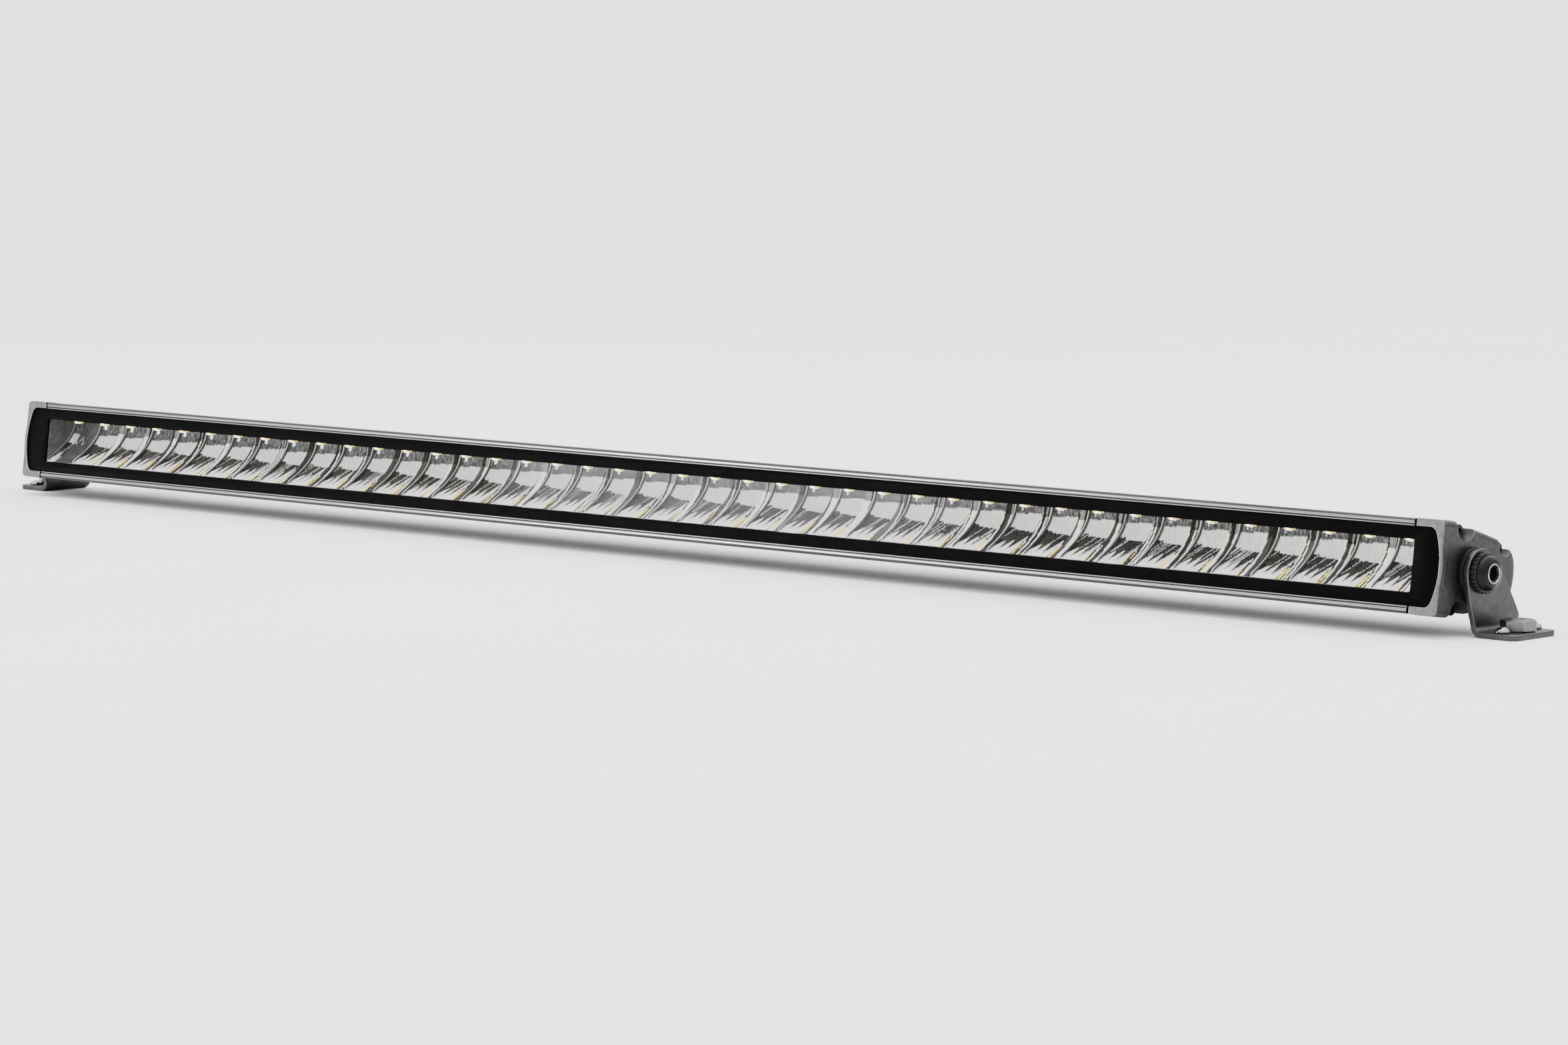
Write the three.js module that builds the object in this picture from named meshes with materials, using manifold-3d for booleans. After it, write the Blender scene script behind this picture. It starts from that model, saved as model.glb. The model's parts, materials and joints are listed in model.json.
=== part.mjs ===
// A single-row LED light bar, 1.1 m long, for trucks and trailers, on two tilting end brackets.
// Millimetres, +Z up, the lit face towards -Y, the bar along X.
import * as THREE from "three";
import { mergeVertices } from "three/addons/utils/BufferGeometryUtils.js";
import Module from "manifold-3d";

const wasm = await Module();
wasm.setup();

// ---------------------------------------------------------------- driving dimensions
const GAP = 0.3; // clearance between pieces that touch
const TILT = THREE.MathUtils.degToRad(8.1); // the face looks up by this much
const PIVOT_HEIGHT = 31.6; // pivot axis above the feet
const PIVOT_SHIFT = -8.239; // pivot axis from the middle of the part's depth
const PIVOT_DEPTH = 24; // pivot axis behind the lens face

// Optics: one LED above each cell of a parabolic trough.
const LED_PITCH = 25.1;
const CELLS = [8, 9, 8, 9, 8]; // cells in each reflector module, left to right
const CELL_COUNT = CELLS.reduce((a, b) => a + b, 0);
const OPTIC_HALF = (CELL_COUNT * LED_PITCH) / 2;
const FOCAL = 8.7;
const VERTEX = { y: 23.4, z: 14 };
const TROUGH = { top: 13.3, bottom: -12.8, wall: 1.2 };
const RIB = { width: 0.9, height: 1.5 };
const END_WALL = { front: 3.2, thick: 1.3 };

// Housing: an aluminium extrusion between two cast end caps.
const SEAM = 528; // the joint between extrusion and cap
const GASKET = 0.8;
const RIM_FRONT = -0.9; // the rim stands this far in front of the lens
const SKIN = [
  [0.6, 23.6], [11, 23.6], [26, 20.9], [40, 18.5], [51, 16.1], [57.4, 12.5], [60.7, 7.4], [61.8, 0],
]; // top of the section from front to back, depth and height
const FLOOR = { depth: 41.5, wall: 2.6 }; // back wall of the hollow
const HOLLOW = { front: 16.4, back: 15 }; // half height of the hollow
const FIN = { count: 5, pitch: 3.6, thick: 1.3 };
const FRONT_SCREW = { y: 17.7, z: 19.1, pocketZ: 21.8, pocketR: 7.3 };
const REAR_SCREW = { y: 51.2, z: 12.6, pocketZ: 14.4, pocketR: 5.4 };
const SCREW = { r: 1.9, hole: 2.2, length: 28, headR: 3.4, headHeight: 2.8, socketR: 1.7 };
const CAP = { side: 545.8, bevel: 3.2, pocketFloor: 538, rimDepth: 3.2, hollowEnd: 540 };

// Outlines of the face, both ends bulged: tip and half height, bulge and corner radii.
const RIM = { tip: 546.5, half: 23.6, bulge: 53.3, corner: 7 };
const LENS = { tip: 544, half: 19.4, bulge: 46.3, corner: 4.2, flange: 0.9, back: 2.2 };
const WINDOW = { halfX: 527.8, halfZ: 13.15 };
const SEAL = { front: 2.4, back: 3.2, halfX: 532.5, halfZ: 15.4 }; // ring between lens and ledge
const LEDGE = { front: 3.5, back: 6, halfX: 530, halfZ: 15 };

// Electronics.
const BOARD = { front: 8, back: 26, bottom: 13.9, top: 15.4 };
const CHIP = { size: 3.6, bottom: 12.9 };
const PAD = { bottom: 15.65, top: 16.15 };
const DRIVER = { halfX: 340, front: 36.4, back: 38, halfZ: 12, partCount: 9 };

// Entry fittings on the back wall, near the left end.
const GLAND = { x: -486, thread: 6, hexR: 10.4, hexDepth: 5, domeR: 8.6, end: 68, bore: 4.2, nutR: 9 };
const VENT = { x: -446, thread: 5, hexR: 8, end: 53.5 };
const PLATFORM = { depth: 46.2, halfX: 13 }; // flat cut through the fins for each fitting

// Brackets and their hardware; x is measured from the middle of the bar.
const PLATE = 3;
const BRACKET = { inner: 549.6, outer: 552.6, footEnd: 576.3, topR: 11.8, bend: 3, corner: 4 };
const FOOT = { front: -5.4, back: 30.1 }; // from the pivot axis
const PIVOT_BOLT = { r: 5, end: 535.5, headBase: 555.8, headEnd: 559.9, baseR: 8.7, tipR: 5.4, socketR: 4.4 };
const SPACER = { r: 12.2, from: 546.8, to: 549.3 };
const WASHER = { r: 10.3, from: 552.9, to: 555.5, teeth: 24, tooth: 0.6 };
const INSERT = { r: 7, from: 534, to: 546.3 };
const FOOT_BOLT = { x: 565.5, y: 12.4, flats: 15.8, height: 5.5, r: 4.9 };
const RIVET = { spacing: 13, r: 4, height: 2.9, shank: 2.2 };
const HOLE_CLEARANCE = 0.3;

// ---------------------------------------------------------------- finishes
const finish = (color, roughness, metalness) => ({ color, roughness, metalness });
const FINISH = {
  anodised: finish(0xa9abad, 0.35, 1),
  cast: finish(0x6c6e70, 0.6, 0.5),
  steel: finish(0x6f7173, 0.5, 0.6),
  zinc: finish(0x8c8e90, 0.35, 1),
  chrome: finish(0xd8dadc, 0.12, 1),
  blackSteel: finish(0x17181a, 0.4, 0.6),
  blackPlastic: finish(0x1b1c1e, 0.5, 0),
  gloss: finish(0x060607, 0.08, 0),
  clear: finish(0xf2f6f8, 0.03, 0),
  rubber: finish(0x141416, 0.85, 0),
  mirror: finish(0xc9cccf, 0.1, 1),
  endWall: finish(0x55575a, 0.55, 0.2),
  board: finish(0xd9dbd6, 0.55, 0),
  driver: finish(0x1f5a3a, 0.5, 0),
  pad: finish(0x9fb4c4, 0.9, 0),
  brass: finish(0xb59a55, 0.3, 1),
};

// ---------------------------------------------------------------- geometry helpers
const AXES = {
  x: new THREE.Matrix4().makeBasis(vec(0, 1, 0), vec(0, 0, 1), vec(1, 0, 0)),
  y: new THREE.Matrix4().makeBasis(vec(1, 0, 0), vec(0, 0, 1), vec(0, -1, 0)),
  z: new THREE.Matrix4(),
};

function vec(x, y, z) {
  return new THREE.Vector3(x, y, z);
}

// A closed geometry as a solid that can be joined and cut.
function solid(geometry) {
  geometry.deleteAttribute("normal");
  geometry.deleteAttribute("uv");
  const merged = mergeVertices(geometry, 1e-4);
  return new wasm.Manifold(
    new wasm.Mesh({
      numProp: 3,
      vertProperties: merged.attributes.position.array,
      triVerts: new Uint32Array(merged.index.array),
    }),
  );
}

function geometryOf(made) {
  const mesh = made.getMesh();
  const geometry = new THREE.BufferGeometry();
  geometry.setAttribute("position", new THREE.BufferAttribute(mesh.vertProperties, mesh.numProp));
  geometry.setIndex(new THREE.BufferAttribute(mesh.triVerts, 1));
  const flat = geometry.toNonIndexed();
  flat.computeVertexNormals();
  return flat;
}

// A shape swept along an axis: (y, z) shapes along x, (x, z) shapes along y, (x, y) shapes along z.
function sweep(axis, shape, from, to, { curves = 3, bevel = 0 } = {}) {
  const geometry = new THREE.ExtrudeGeometry(shape, {
    depth: to - from - 2 * bevel,
    curveSegments: curves,
    bevelEnabled: bevel > 0,
    bevelThickness: bevel,
    bevelSize: bevel,
    bevelOffset: -bevel,
    bevelSegments: 3,
  });
  geometry.translate(0, 0, bevel);
  geometry.applyMatrix4(AXES[axis]);
  const start = { x: [from, 0, 0], y: [0, to, 0], z: [0, 0, from] }[axis];
  return solid(geometry.translate(...start));
}

// A cylinder, cone or prism along an axis, at two cross-axis places.
function rod(axis, r, from, to, a, b, { endR = r, sides = 20, turn = 0 } = {}) {
  const geometry = new THREE.CylinderGeometry(endR, r, to - from, sides);
  geometry.rotateY(turn);
  const middle = (from + to) / 2;
  if (axis === "x") geometry.rotateZ(-Math.PI / 2).translate(middle, a, b);
  if (axis === "y") geometry.translate(a, middle, b);
  if (axis === "z") geometry.rotateX(Math.PI / 2).translate(a, b, middle);
  return solid(geometry);
}

function block(x0, x1, y0, y1, z0, z1) {
  const geometry = new THREE.BoxGeometry(x1 - x0, y1 - y0, z1 - z0);
  return solid(geometry.translate((x0 + x1) / 2, (y0 + y1) / 2, (z0 + z1) / 2));
}

const join = (parts) => parts.reduce((a, b) => a.add(b));
const cut = (part, tools) => part.subtract(join(tools));

function shapeOf(points) {
  return new THREE.Shape(points.map(([a, b]) => new THREE.Vector2(a, b)));
}

function closedPath(points) {
  const path = new THREE.Path();
  points.forEach(([a, b], i) => path[i ? "lineTo" : "moveTo"](a, b));
  return path.closePath();
}

function circlePath(a, b, r, sides = 12) {
  const angles = Array.from({ length: sides }, (_, i) => (2 * Math.PI * i) / sides);
  return closedPath(angles.map((t) => [a + r * Math.cos(t), b + r * Math.sin(t)]));
}

const mirrored = (points) => points.map(([a, b]) => [a, -b]).reverse();

// A closed shape from its upper edge, front to back, and the mirror image below.
function symmetric(upper) {
  const lower = mirrored(upper.filter(([, b]) => b > 0.01));
  return shapeOf([...upper, ...lower]);
}

// The upper skin of the section, moved inwards by an inset, ending on the middle plane.
function skin(inset, count = 18) {
  const curve = new THREE.SplineCurve(SKIN.map(([y, z]) => new THREE.Vector2(y, z)));
  return Array.from({ length: count + 1 }, (_, i) => {
    const p = curve.getPointAt(i / count);
    const t = curve.getTangentAt(i / count);
    return [p.x + t.y * inset, Math.max(0, p.y - t.x * inset)];
  });
}

// The face outline of the bar in (x, z), grown by a margin.
function faceOutline({ tip, half, bulge, corner }, margin = 0) {
  const [t, h, R, r] = [tip + margin, half + margin, bulge + margin, corner + margin];
  const centre = t - R;
  const cz = h - r;
  const cx = centre + Math.sqrt((R - r) ** 2 - cz ** 2);
  const a = Math.atan2(cz, cx - centre);
  const shape = new THREE.Shape();
  shape.moveTo(-cx, -h).lineTo(cx, -h);
  shape.absarc(cx, -cz, r, -Math.PI / 2, -a, false);
  shape.absarc(centre, 0, R, -a, a, false);
  shape.absarc(cx, cz, r, a, Math.PI / 2, false);
  shape.lineTo(-cx, h);
  shape.absarc(-cx, cz, r, Math.PI / 2, Math.PI - a, false);
  shape.absarc(-centre, 0, R, Math.PI - a, Math.PI + a, false);
  shape.absarc(-cx, -cz, r, Math.PI + a, 1.5 * Math.PI, false);
  return shape;
}

// ---------------------------------------------------------------- scene graph
const root = new THREE.Group();
const bar = new THREE.Group(); // turns about the pivot axis
const face = new THREE.Group(); // its origin is the middle of the lens face
root.add(bar);
bar.add(face);
bar.position.set(0, PIVOT_SHIFT, PIVOT_HEIGHT);
bar.rotation.x = -TILT;
face.position.y = -PIVOT_DEPTH;

function piece(parent, name, made, look) {
  const mesh = new THREE.Mesh(geometryOf(made), new THREE.MeshStandardMaterial(look));
  mesh.name = name;
  parent.add(mesh);
}

// ---------------------------------------------------------------- optics
const trough = (z) => VERTEX.y - (VERTEX.z - z) ** 2 / (4 * FOCAL);

// Points of the parabola, moved away from the focus by an offset.
function troughLine(offset, count = 7) {
  return Array.from({ length: count + 1 }, (_, i) => {
    const z = THREE.MathUtils.lerp(TROUGH.top, TROUGH.bottom, i / count);
    const slope = (VERTEX.z - z) / (2 * FOCAL);
    const n = Math.hypot(1, slope);
    return [trough(z) + offset / n, z - (offset * slope) / n];
  });
}

function troughSheet(from, to) {
  const outline = [...troughLine(TROUGH.wall).reverse(), ...troughLine(0)];
  return sweep("x", shapeOf(outline), from, to);
}

function rib(from, to) {
  const crest = troughLine(-RIB.height).map(([y, z]) => [Math.max(y, END_WALL.front - 0.6), z]);
  const outline = [...troughLine(0.4).reverse(), ...crest];
  return sweep("x", shapeOf(outline), from, to);
}

function reflector(from, cells) {
  const to = from + cells * LED_PITCH;
  const ends = [from + GAP / 2, to - GAP / 2];
  const parts = [troughSheet(...ends)];
  for (let i = 0; i <= cells; i++) {
    const x = from + i * LED_PITCH;
    const a = Math.max(x - RIB.width / 2, ends[0]);
    const b = Math.min(x + RIB.width / 2, ends[1]);
    parts.push(rib(a, b));
  }
  return join(parts);
}

// The wall that closes the end of the trough.
function reflectorEnd() {
  const outline = [...troughLine(TROUGH.wall).reverse(), [END_WALL.front, TROUGH.top]];
  return sweep("x", shapeOf(outline), OPTIC_HALF + GAP / 2, OPTIC_HALF + END_WALL.thick);
}

function ledBoard(from, cells) {
  const to = from + cells * LED_PITCH;
  const half = CHIP.size / 2;
  const focusY = VERTEX.y - FOCAL;
  const parts = [block(from + 0.5, to - 0.5, BOARD.front, BOARD.back, BOARD.bottom, BOARD.top)];
  for (let i = 0; i < cells; i++) {
    const x = from + (i + 0.5) * LED_PITCH;
    parts.push(block(x - half, x + half, focusY - half, focusY + half, CHIP.bottom, BOARD.bottom + 0.2));
  }
  const plug = to - 6;
  parts.push(block(plug - 4, plug, BOARD.front, BOARD.front + 4, BOARD.bottom - 0.4, BOARD.top));
  return join(parts);
}

function addOptics() {
  let from = -OPTIC_HALF;
  CELLS.forEach((cells, i) => {
    piece(face, `reflector_${i + 1}`, reflector(from, cells), FINISH.mirror);
    piece(face, `led_board_${i + 1}`, ledBoard(from, cells), FINISH.board);
    from += cells * LED_PITCH;
  });
  const pad = block(-OPTIC_HALF, OPTIC_HALF, BOARD.front, BOARD.back - 1, PAD.bottom, PAD.top);
  piece(face, "thermal_pad", pad, FINISH.pad);
}

// ---------------------------------------------------------------- lens
function windowBlock(margin, y0, y1) {
  const x = WINDOW.halfX + margin;
  const z = WINDOW.halfZ + margin;
  return block(-x, x, y0, y1, -z, z);
}

function addLens() {
  const flange = sweep("y", faceOutline(LENS), LENS.flange, LENS.back);
  piece(face, "lens", join([flange, windowBlock(-0.15, 0.1, LENS.flange + 0.2)]), FINISH.clear);
  const mask = sweep("y", faceOutline(LENS), 0, LENS.flange - 0.25);
  piece(face, "lens_mask", cut(mask, [windowBlock(0, -1, LENS.flange)]), FINISH.gloss);
  const ring = sweep("y", faceOutline(LENS, -0.6), SEAL.front, SEAL.back);
  const opening = block(-SEAL.halfX, SEAL.halfX, 0, SEAL.back + 1, -SEAL.halfZ, SEAL.halfZ);
  piece(face, "lens_seal", cut(ring, [opening]), FINISH.rubber);
}

// ---------------------------------------------------------------- housing
function screwSpots() {
  const upper = [FRONT_SCREW, REAR_SCREW];
  return [...upper, ...upper.map((s) => ({ ...s, z: -s.z, pocketZ: -s.pocketZ }))];
}

function finEdge() {
  const root = FLOOR.depth + FLOOR.wall;
  const tips = new THREE.SplineCurve(SKIN.slice(4).map(([y, z]) => new THREE.Vector2(z, y - 1.2)));
  const tipAt = (z) => {
    const points = tips.getPoints(40);
    return points.reduce((a, b) => (Math.abs(b.x - z) < Math.abs(a.x - z) ? b : a)).y;
  };
  const edge = [];
  for (let i = 0; i < FIN.count; i++) {
    const z = (i - (FIN.count - 1) / 2) * FIN.pitch;
    const [low, high] = [z - FIN.thick / 2, z + FIN.thick / 2];
    const tip = tipAt(Math.abs(z));
    edge.push([root, low], [tip - 0.5, low], [tip, low + 0.35], [tip, high - 0.35], [tip - 0.5, high], [root, high]);
  }
  return edge; // from the lowest fin to the highest
}

function housingShape() {
  const inside = [
    [FLOOR.depth, HOLLOW.back], [27, HOLLOW.front], [LEDGE.back, HOLLOW.front],
    [LEDGE.back, LEDGE.halfZ], [LEDGE.front, LEDGE.halfZ], [LEDGE.front, 19.6],
  ];
  const brim = [
    [-0.4, 19.6], [-0.7, 19.8], [-0.7, 20.1], [0.1, 20.2], [0.1, 20.7], [-0.7, 20.8],
    [RIM_FRONT, 21.3], [RIM_FRONT, 22.2], [-0.6, 22.9], [-0.1, 23.3],
  ];
  const top = skin(0.25).filter(([y, z]) => y < 55.5 && z > 9.4);
  const corner = [[56.6, 11.2], [56.4, 9.4], [FLOOR.depth + FLOOR.wall, 9.4]];
  const upper = [...inside, ...brim, ...top, ...corner];
  const shape = shapeOf([...upper, ...finEdge().reverse(), ...mirrored(upper)]);
  for (const s of screwSpots()) shape.holes.push(circlePath(s.y, s.z, SCREW.hole));
  return shape;
}

function addHousing() {
  const end = SEAM - GASKET / 2 - 0.2;
  const back = SKIN.at(-1)[0] + 1;
  const openings = [GLAND, VENT].flatMap((f) => [
    block(f.x - PLATFORM.halfX, f.x + PLATFORM.halfX, PLATFORM.depth, back, -9.4, 9.4),
    block(f.x - PLATFORM.halfX, f.x + PLATFORM.halfX, FLOOR.depth + 0.1, PLATFORM.depth, -9.4, 9.4),
  ]);
  const platforms = [GLAND, VENT].map((f) => {
    const x = PLATFORM.halfX;
    return block(f.x - x, f.x + x, FLOOR.depth, PLATFORM.depth, -9.5, 9.5);
  });
  const bores = [GLAND, VENT].map((f) => rod("y", f.thread + 0.3, 30, back, f.x, 0));
  const body = cut(sweep("x", housingShape(), -end, end), openings);
  piece(face, "housing", cut(join([body, ...platforms]), bores), FINISH.anodised);
}

// ---------------------------------------------------------------- end caps, made for the right side
function capBody() {
  const [brow, ...top] = skin(0);
  const shape = symmetric([[RIM_FRONT - CAP.bevel, brow[1]], ...top]);
  const behind = sweep("x", shape, SEAM - 12, CAP.side, { bevel: CAP.bevel });
  const rim = sweep("y", faceOutline(RIM), RIM_FRONT, CAP.rimDepth);
  const start = SEAM + GASKET / 2 + 0.2;
  return join([behind, rim]).intersect(block(start, RIM.tip + 1, RIM_FRONT, 64, -25, 25));
}

function endCap() {
  const start = SEAM - 1;
  const boss = rod("x", 11, start, CAP.hollowEnd + 1, PIVOT_DEPTH, 0);
  const hollow = cut(
    block(start, CAP.hollowEnd, LEDGE.back, FLOOR.depth + 2, -LEDGE.halfZ + 0.6, LEDGE.halfZ - 0.6), [boss]);
  const seat = sweep("y", faceOutline(LENS, 0.25), RIM_FRONT - 1, LEDGE.front);
  const mouth = block(start, LEDGE.halfX + 1.5, 0, LEDGE.back + 1, -LEDGE.halfZ + 0.6, LEDGE.halfZ - 0.6);
  const bolt = rod("x", INSERT.r + 0.2, INSERT.from - 0.5, RIM.tip + 1, PIVOT_DEPTH, 0);
  const tools = [hollow, seat, mouth, bolt];
  for (const s of screwSpots()) {
    tools.push(rod("x", s.pocketR, CAP.pocketFloor, RIM.tip + 1, s.y, s.pocketZ, { sides: 28 }));
    tools.push(rod("x", SCREW.hole, start, RIM.tip, s.y, s.z));
  }
  return cut(capBody(), tools);
}

// Open at the front, where the end of the trough passes through it.
function capGasket() {
  const shape = symmetric([[LEDGE.back + 0.2, 22], ...skin(0.8).filter(([y]) => y > LEDGE.back + 0.5)]);
  for (const s of screwSpots()) shape.holes.push(circlePath(s.y, s.z, SCREW.hole));
  const [from, to] = [SEAM - GASKET / 2, SEAM + GASKET / 2];
  const half = HOLLOW.back - 0.6;
  return cut(sweep("x", shape, from, to), [block(from - 1, to + 1, 0, FLOOR.depth, -half, half)]);
}

function capScrew({ y, z }) {
  const seat = CAP.pocketFloor + GAP;
  const top = seat + SCREW.headHeight;
  const body = join([
    rod("x", SCREW.r, seat - SCREW.length, seat + 0.5, y, z, { sides: 8 }),
    rod("x", SCREW.headR, seat, top, y, z, { sides: 14 }),
  ]);
  return cut(body, [rod("x", SCREW.socketR, top - 1.6, top + 1, y, z, { sides: 6 })]);
}

function pivotInsert() {
  const tube = rod("x", INSERT.r, INSERT.from, INSERT.to, PIVOT_DEPTH, 0);
  return cut(tube, [rod("x", PIVOT_BOLT.r + 0.15, INSERT.from - 1, INSERT.to + 1, PIVOT_DEPTH, 0)]);
}

function pivotBolt() {
  const b = PIVOT_BOLT;
  const body = join([
    rod("x", b.r, b.end, b.headBase + 1, PIVOT_DEPTH, 0),
    rod("x", b.baseR, b.headBase, b.headBase + 1.4, PIVOT_DEPTH, 0, { sides: 28 }),
    rod("x", b.baseR, b.headBase + 1.4, b.headEnd, PIVOT_DEPTH, 0, { endR: b.tipR, sides: 28 }),
  ]);
  return cut(body, [rod("x", b.socketR - 0.6, b.headEnd - 3, b.headEnd + 1, PIVOT_DEPTH, 0, { sides: 6 })]);
}

function addCaps() {
  for (const [side, scale] of [["left", -1], ["right", 1]]) {
    const group = new THREE.Group();
    group.scale.x = scale;
    face.add(group);
    piece(group, `end_cap_${side}`, endCap(), FINISH.cast);
    piece(group, `end_cap_gasket_${side}`, capGasket(), FINISH.rubber);
    piece(group, `reflector_end_${side}`, reflectorEnd(), FINISH.endWall);
    screwSpots().forEach((s, i) => piece(group, `end_cap_screw_${side}_${i + 1}`, capScrew(s), FINISH.blackSteel));
    piece(group, `pivot_insert_${side}`, pivotInsert(), FINISH.brass);
    piece(group, `pivot_bolt_${side}`, pivotBolt(), FINISH.blackSteel);
  }
}

// ---------------------------------------------------------------- driver, cable inlet and vent
function driverBoard() {
  const d = DRIVER;
  const parts = [block(-d.halfX, d.halfX, d.front, d.back, -d.halfZ, d.halfZ)];
  for (let i = 0; i < d.partCount; i++) {
    const x = (i - (d.partCount - 1) / 2) * ((2 * d.halfX) / d.partCount);
    parts.push(block(x - 6, x + 6, d.front - 6, d.front + 0.2, -10, -1));
    parts.push(rod("y", 3.2, d.front - 6.5, d.front + 0.2, x + 15, -6, { sides: 12 }));
    parts.push(block(x + 22, x + 30, d.front - 2.2, d.front + 0.2, -4, 4));
  }
  parts.push(block(-d.halfX + 2, -d.halfX + 12, d.front - 7, d.front + 0.2, -9, 3));
  return join(parts);
}

function cableGland() {
  const g = GLAND;
  const seat = PLATFORM.depth + GAP;
  const body = join([
    rod("y", g.thread, FLOOR.depth - 9, seat + 1, g.x, 0),
    rod("y", g.hexR, seat, seat + g.hexDepth, g.x, 0, { sides: 6, turn: Math.PI / 6 }),
    rod("y", g.domeR, seat + g.hexDepth - 0.5, g.end, g.x, 0, { endR: g.domeR - 2.2, sides: 20 }),
  ]);
  return cut(body, [rod("y", g.bore, 20, g.end + 1, g.x, 0)]);
}

function glandNut() {
  const back = FLOOR.depth - GAP;
  const nut = rod("y", GLAND.nutR, back - 2.8, back, GLAND.x, 0, { sides: 6 });
  return cut(nut, [rod("y", GLAND.thread + 0.2, back - 5, back + 1, GLAND.x, 0)]);
}

function ventPlug() {
  const v = VENT;
  const seat = PLATFORM.depth + GAP;
  const body = join([
    rod("y", v.thread, FLOOR.depth - 2, seat + 1, v.x, 0),
    rod("y", v.hexR, seat, seat + 3.5, v.x, 0, { sides: 6 }),
    rod("y", v.hexR - 1.4, seat + 3, v.end, v.x, 0, { endR: v.hexR - 2, sides: 24 }),
  ]);
  const slots = [-1, 1].map((s) => block(v.x - 9, v.x + 9, v.end - 2, v.end - 1, s * 2.2 - 0.6, s * 2.2 + 0.6));
  return cut(body, slots);
}

function addElectrics() {
  piece(face, "driver_board", driverBoard(), FINISH.driver);
  piece(face, "cable_gland", cableGland(), FINISH.blackPlastic);
  piece(face, "cable_gland_nut", glandNut(), FINISH.blackPlastic);
  piece(face, "vent_plug", ventPlug(), FINISH.blackPlastic);
}

// ---------------------------------------------------------------- brackets, made for the right side
// The bracket's own frame has its origin on the pivot axis.
function bracketPlate() {
  const b = BRACKET;
  const under = -PIVOT_HEIGHT;
  const outerR = b.bend + PLATE;
  const profile = new THREE.Shape(); // the bent strip, in (x, z)
  profile.moveTo(b.inner, b.topR + 1).lineTo(b.inner, under + outerR);
  profile.absarc(b.inner + outerR, under + outerR, outerR, Math.PI, 1.5 * Math.PI, false);
  profile.lineTo(b.footEnd, under).lineTo(b.footEnd, under + PLATE).lineTo(b.outer + b.bend, under + PLATE);
  profile.absarc(b.outer + b.bend, under + PLATE + b.bend, b.bend, 1.5 * Math.PI, Math.PI, true);
  profile.lineTo(b.outer, b.topR + 1);

  const side = new THREE.Shape(); // the cut blank, in (y, z)
  const lean = 0.85; // the back edge leaves the round top at this angle
  side.moveTo(FOOT.front, under - 1).lineTo(FOOT.front, under + 6);
  side.quadraticCurveTo(-b.topR, -8, -b.topR, 0);
  side.absarc(0, 0, b.topR, Math.PI, lean, true);
  side.quadraticCurveTo(22, -6, FOOT.back + 1.2, -23).lineTo(FOOT.back, -27).lineTo(FOOT.back, under - 1);

  const c = b.corner;
  const plan = new THREE.Shape(); // the foot from above, in (x, y)
  plan.moveTo(b.inner - 1, -20).lineTo(b.outer, -20).lineTo(b.outer, FOOT.front);
  plan.lineTo(b.footEnd - c, FOOT.front).absarc(b.footEnd - c, FOOT.front + c, c, -Math.PI / 2, 0, false);
  plan.lineTo(b.footEnd, FOOT.back - c).absarc(b.footEnd - c, FOOT.back - c, c, 0, Math.PI / 2, false);
  plan.lineTo(b.outer, FOOT.back).lineTo(b.outer, 40).lineTo(b.inner - 1, 40);

  const blank = sweep("y", profile, -20, 40, { curves: 4 })
    .intersect(sweep("x", side, b.inner - 1, b.footEnd + 1, { curves: 8 }))
    .intersect(sweep("z", plan, under - 1, b.topR + 2, { curves: 4 }));
  const holes = [rod("x", PIVOT_BOLT.r + HOLE_CLEARANCE, b.inner - 1, b.outer + 1, 0, 0)];
  holes.push(rod("z", FOOT_BOLT.r + HOLE_CLEARANCE, under - 1, under + 4, FOOT_BOLT.x, FOOT_BOLT.y));
  for (const s of [-1, 1]) {
    const y = FOOT_BOLT.y + s * RIVET.spacing;
    holes.push(rod("z", RIVET.shank + 0.2, under - 1, under + 4, FOOT_BOLT.x, y, { sides: 10 }));
  }
  return cut(blank, holes);
}

function pivotSpacer() {
  const disc = rod("x", SPACER.r, SPACER.from, SPACER.to, 0, 0, { sides: 36 });
  return cut(disc, [rod("x", PIVOT_BOLT.r + HOLE_CLEARANCE, SPACER.from - 1, SPACER.to + 1, 0, 0)]);
}

function pivotWasher() {
  const rim = [];
  for (let i = 0; i < 2 * WASHER.teeth; i++) {
    const a = (Math.PI * i) / WASHER.teeth;
    const r = WASHER.r - (i % 2) * WASHER.tooth;
    rim.push([r * Math.cos(a), r * Math.sin(a)]);
  }
  const shape = shapeOf(rim);
  shape.holes.push(circlePath(0, 0, PIVOT_BOLT.r + HOLE_CLEARANCE, 20));
  return sweep("x", shape, WASHER.from, WASHER.to);
}

function footBolt() {
  const { x, y, flats, height, r } = FOOT_BOLT;
  const top = -PIVOT_HEIGHT + PLATE;
  const corner = flats / Math.sqrt(3);
  const turn = THREE.MathUtils.degToRad(85);
  return join([
    rod("z", r, -PIVOT_HEIGHT + GAP, top + 1, x, y),
    rod("z", corner, top + GAP, top + height - 0.5, x, y, { sides: 6, turn }),
    rod("z", corner, top + height - 0.5, top + height, x, y, { endR: corner - 0.8, sides: 6, turn }),
  ]);
}

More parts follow.
